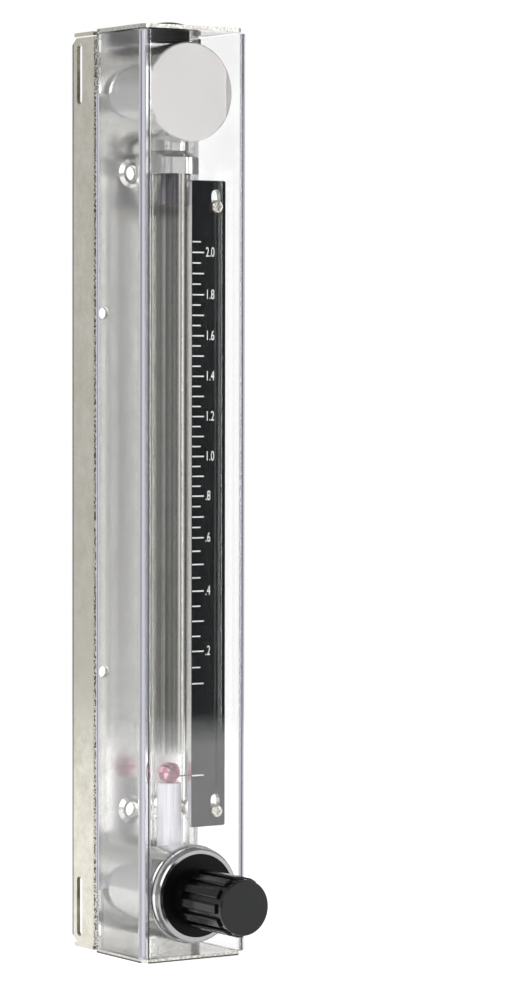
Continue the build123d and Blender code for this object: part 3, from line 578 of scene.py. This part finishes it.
# Shield: 3 mm clear polycarbonate sheet, folded hot along two bends and cut with a saw. Light
# that turns back between its faces runs along it and leaves the bends and the rear cuts as grey
# and lilac lines, painted as a glow, with one painted dark line of shade beside each bend.
POLYCARBONATE = "#FEFEFE"
GUIDED_DARK = "#6C6C76"
GUIDED_LIGHT = "#CFCFD8"
BEND_SHADOW = "#55555C"
GUIDED_LINE = 0.6 * MM
GUIDED_STRETCH = 0.00018
BEND_FROM_SIDE = 20.0 * MM
BEND_FROM_FRONT = -16.6 * MM
DARK_LINE_AT = 21.2 * MM
DARK_LINE_HALF = 0.3 * MM
CUT_AT_REAR = 14.0 * MM
TWO_TURNS = 1.5
ONE_PASS = 1.5
polycarbonate, tree, output = new_material("clear_polycarbonate")
clear = clear_shader(tree, POLYCARBONATE, 1.585, 0.0)
path = add(tree, "ShaderNodeLightPath")
place = add(tree, "ShaderNodeTexCoord")
where = add(tree, "ShaderNodeSeparateXYZ", {"Vector": place.outputs["Object"]})
aside = add(tree, "ShaderNodeMath", {0: where.outputs["X"]}, operation="ABSOLUTE")
at_side = add(tree, "ShaderNodeMath", {0: aside.outputs["Value"], 1: BEND_FROM_SIDE},
              operation="GREATER_THAN")
at_front = add(tree, "ShaderNodeMath", {0: where.outputs["Y"], 1: BEND_FROM_FRONT},
               operation="LESS_THAN")
in_bend = add(tree, "ShaderNodeMath", {0: at_side.outputs["Value"], 1: at_front.outputs["Value"]},
              operation="MULTIPLY")
# Two turns are enough to catch a ray, and one in a bend.
enough = add(tree, "ShaderNodeMath", {0: TWO_TURNS, 1: in_bend.outputs["Value"]},
             operation="SUBTRACT")
turned_back = add(tree, "ShaderNodeMath", {0: path.outputs["Glossy Depth"],
                                           1: enough.outputs["Value"]}, operation="GREATER_THAN")
still_inside = add(tree, "ShaderNodeMath", {0: path.outputs["Transmission Depth"], 1: ONE_PASS},
                   operation="LESS_THAN")
inside = add(tree, "ShaderNodeMath", {0: turned_back.outputs["Value"],
                                      1: still_inside.outputs["Value"]}, operation="MULTIPLY")
on_line = add(tree, "ShaderNodeMath", {0: aside.outputs["Value"], 1: DARK_LINE_AT,
                                       2: DARK_LINE_HALF}, operation="COMPARE")
dark_line = add(tree, "ShaderNodeMath", {0: on_line.outputs["Value"],
                                         1: at_front.outputs["Value"]}, operation="MULTIPLY")
at_cut = add(tree, "ShaderNodeMath", {0: where.outputs["Y"], 1: CUT_AT_REAR},
             operation="GREATER_THAN")
leaving = add(tree, "ShaderNodeMath", {0: dark_line.outputs["Value"],
                                       1: at_cut.outputs["Value"]}, operation="MAXIMUM")
caught = add(tree, "ShaderNodeMath", {0: inside.outputs["Value"],
                                      1: leaving.outputs["Value"]}, operation="MAXIMUM")
upright = add(tree, "ShaderNodeMapping", {
    "Vector": place.outputs["Object"],
    "Scale": (1 / GUIDED_LINE, 1 / GUIDED_LINE, GUIDED_STRETCH / GUIDED_LINE),
})
guided = add(tree, "ShaderNodeTexNoise", {"Vector": upright.outputs["Vector"], "Scale": 1.0,
                                          "Detail": 1.0})
strength = add(tree, "ShaderNodeMapRange", {"Value": guided.outputs["Fac"], "From Min": 0.4,
                                            "From Max": 0.56})
lilac = add(tree, "ShaderNodeMix", {
    "Factor": strength.outputs["Result"], "A": linear(GUIDED_DARK), "B": linear(GUIDED_LIGHT),
}, data_type="RGBA")
tone = add(tree, "ShaderNodeMix", {
    "Factor": dark_line.outputs["Value"], "A": lilac.outputs["Result"], "B": linear(BEND_SHADOW),
}, data_type="RGBA")
# Painted glow and painted shade: caught rays and the rear cuts glow grey and lilac, and the line
# beside each bend is flat dark.
glow = add(tree, "ShaderNodeEmission", {"Color": tone.outputs["Result"], "Strength": 1.0})
sheet = add(tree, "ShaderNodeMixShader", {
    "Fac": caught.outputs["Value"], 1: clear.outputs["Shader"], 2: glow.outputs["Emission"],
})
tree.links.new(sheet.outputs["Shader"], output.inputs["Surface"])
dress(polycarbonate, "shield")

# Floor: a round white table top under the foot. It fades into the white background and keeps
# the part's shadow.
FLOOR = "#F4F4F4"
FLOOR_RADIUS = 1.05
FLOOR_FADE = 0.2
floor_mesh = bpy.data.meshes.new("floor")
floor = bpy.data.objects.new("floor", floor_mesh)
bpy.context.scene.collection.objects.link(floor)
form = bmesh.new()
bmesh.ops.create_circle(form, cap_ends=True, segments=64, radius=FLOOR_RADIUS)
form.to_mesh(floor_mesh)
form.free()
paper, tree, output = new_material("pale_floor")
matt = add(tree, "ShaderNodeBsdfDiffuse", {"Color": linear(FLOOR)})
lift = add(tree, "ShaderNodeEmission", {"Color": linear(FLOOR), "Strength": 0.75})
seen = add(tree, "ShaderNodeLightPath")
through = add(tree, "ShaderNodeMath", {0: seen.outputs["Is Camera Ray"],
                                       1: seen.outputs["Is Transmission Ray"]},
              operation="MAXIMUM")
mirrored = add(tree, "ShaderNodeMath", {0: through.outputs["Value"],
                                        1: seen.outputs["Is Glossy Ray"]}, operation="MAXIMUM")
glow = add(tree, "ShaderNodeMixShader", {
    "Fac": mirrored.outputs["Value"], 2: lift.outputs["Emission"],
})
both = add(tree, "ShaderNodeAddShader", {0: matt.outputs["BSDF"], 1: glow.outputs["Shader"]})
place = add(tree, "ShaderNodeTexCoord")
distance = add(tree, "ShaderNodeVectorMath", {0: place.outputs["Object"]}, operation="LENGTH")
rim = add(tree, "ShaderNodeMapRange", {"Value": distance.outputs["Value"],
                                       "From Min": FLOOR_RADIUS - FLOOR_FADE,
                                       "From Max": FLOOR_RADIUS})
nothing = add(tree, "ShaderNodeBsdfTransparent")
fading = add(tree, "ShaderNodeMixShader", {
    "Fac": rim.outputs["Result"], 1: both.outputs["Shader"], 2: nothing.outputs["BSDF"],
})
tree.links.new(fading.outputs["Shader"], output.inputs["Surface"])
floor_mesh.materials.append(paper)

# Light: what the metal mirrors is a white sheet behind, a wide soft box in front, dark walls at
# the front right with one tall tube lamp, and greys elsewhere. Two soft lamps light the matt
# surfaces, and the camera sees plain white.
ROUND = ((-180, 1.0), (-162, 0.75), (-150, 0.58), (-110, 0.45), (-60, 0.3), (-24, 0.3),
         (-20, 0.95), (31.2, 0.95), (31.8, 0.04), (62, 0.04), (80, 0.2), (128, 0.25), (138, 1.0),
         (180, 1.0))
CEILING = 0.4
STUDIO = 1.2
STRIP_AT = math.radians(40.7)
STRIP_HALF = math.radians(2.0)
STRIP = 9.0
TURNS_OF_LIGHT = 24
world = bpy.data.worlds.new("studio")
bpy.context.scene.world = world
world.use_nodes = True
world.node_tree.nodes.clear()
tree = world.node_tree
look = add(tree, "ShaderNodeTexCoord")
way = add(tree, "ShaderNodeSeparateXYZ", {"Vector": look.outputs["Generated"]})
ahead = add(tree, "ShaderNodeMath", {0: way.outputs["Y"], 1: -1.0}, operation="MULTIPLY")
bearing = add(tree, "ShaderNodeMath", {0: way.outputs["X"], 1: ahead.outputs["Value"]},
              operation="ARCTAN2")
turn = add(tree, "ShaderNodeMapRange", {"Value": bearing.outputs["Value"], "From Min": -math.pi,
                                        "From Max": math.pi})
walls = add(tree, "ShaderNodeValToRGB", {"Fac": turn.outputs["Result"]})
stops = walls.color_ramp.elements
for stop, (angle, level) in ((stops[0], ROUND[0]), (stops[1], ROUND[-1])):
    stop.position = (angle + 180) / 360
    stop.color = (level, level, level, 1.0)
for angle, level in ROUND[1:-1]:
    stops.new((angle + 180) / 360).color = (level, level, level, 1.0)
strip = add(tree, "ShaderNodeMath", {0: bearing.outputs["Value"], 1: STRIP_AT, 2: STRIP_HALF},
            operation="COMPARE")
tube_light = add(tree, "ShaderNodeMath", {0: strip.outputs["Value"], 1: STRIP},
                 operation="MULTIPLY")
lit_walls = add(tree, "ShaderNodeVectorMath", {0: walls.outputs["Color"],
                                               1: tube_light.outputs["Value"]}, operation="ADD")
height = add(tree, "ShaderNodeMapRange", {"Value": way.outputs["Z"], "From Min": 0.12,
                                          "From Max": 0.35})
studio_tone = add(tree, "ShaderNodeMix", {
    "Factor": height.outputs["Result"], "A": lit_walls.outputs["Vector"],
    "B": (CEILING, CEILING, CEILING, 1.0),
}, data_type="RGBA")
ray = add(tree, "ShaderNodeLightPath")
mirrored = add(tree, "ShaderNodeMath", {0: ray.outputs["Is Glossy Ray"],
                                        1: ray.outputs["Is Transmission Ray"]},
               operation="MAXIMUM")
soft = add(tree, "ShaderNodeBackground", {"Color": linear("#FFFFFF"), "Strength": 0.45})
white = add(tree, "ShaderNodeBackground", {"Color": linear("#FFFFFF"), "Strength": 1.0})
studio = add(tree, "ShaderNodeBackground", {"Color": studio_tone.outputs["Result"],
                                            "Strength": STUDIO})
room = add(tree, "ShaderNodeMixShader", {
    "Fac": mirrored.outputs["Value"], 1: soft.outputs["Background"],
    2: studio.outputs["Background"],
})
all_rays = add(tree, "ShaderNodeMixShader", {
    "Fac": ray.outputs["Is Camera Ray"], 1: room.outputs["Shader"],
    2: white.outputs["Background"],
})
add(tree, "ShaderNodeOutputWorld", {"Surface": all_rays.outputs["Shader"]})

MIDDLE = Vector((0.0, 0.0, 0.18))
for name, place, width, height, power in (
    ("left_lamp", (-0.9, -0.9, 0.9), 0.8, 1.0, 9.0),
    ("right_lamp", (1.2, -0.7, 0.4), 0.5, 1.0, 5.0),
):
    lamp = bpy.data.lights.new(name, "AREA")
    lamp.shape = "RECTANGLE"
    lamp.size = width
    lamp.size_y = height
    lamp.energy = power
    holder = bpy.data.objects.new(name, lamp)
    bpy.context.scene.collection.objects.link(holder)
    holder.location = place
    holder.rotation_euler = (MIDDLE - Vector(place)).to_track_quat("-Z", "Y").to_euler()
cycles = bpy.context.scene.cycles
cycles.max_bounces = TURNS_OF_LIGHT
cycles.transmission_bounces = TURNS_OF_LIGHT
cycles.transparent_max_bounces = TURNS_OF_LIGHT

# Camera: fitted to the case's corners, a long lens a metre and a half away, left of the front. It
# looks slightly down and is turned a tenth of a degree about its own axis.
LENS = 142.56
CAMERA_PLACE = (-0.81534, -1.29817, 0.23345)
CAMERA_TURN = (87.866, 0.0, -33.546)
CAMERA_ROLL = 0.105
camera_data = bpy.data.cameras.new("camera")
camera_data.lens = LENS
camera_data.sensor_width = 36.0
camera = bpy.data.objects.new("camera", camera_data)
bpy.context.scene.collection.objects.link(camera)
camera.location = CAMERA_PLACE
aim = Euler([math.radians(a) for a in CAMERA_TURN]).to_matrix()
roll = Matrix.Rotation(math.radians(CAMERA_ROLL), 3, "Z")
camera.rotation_euler = (aim @ roll).to_euler()
bpy.context.scene.camera = camera
bpy.context.scene.view_settings.view_transform = "Standard"
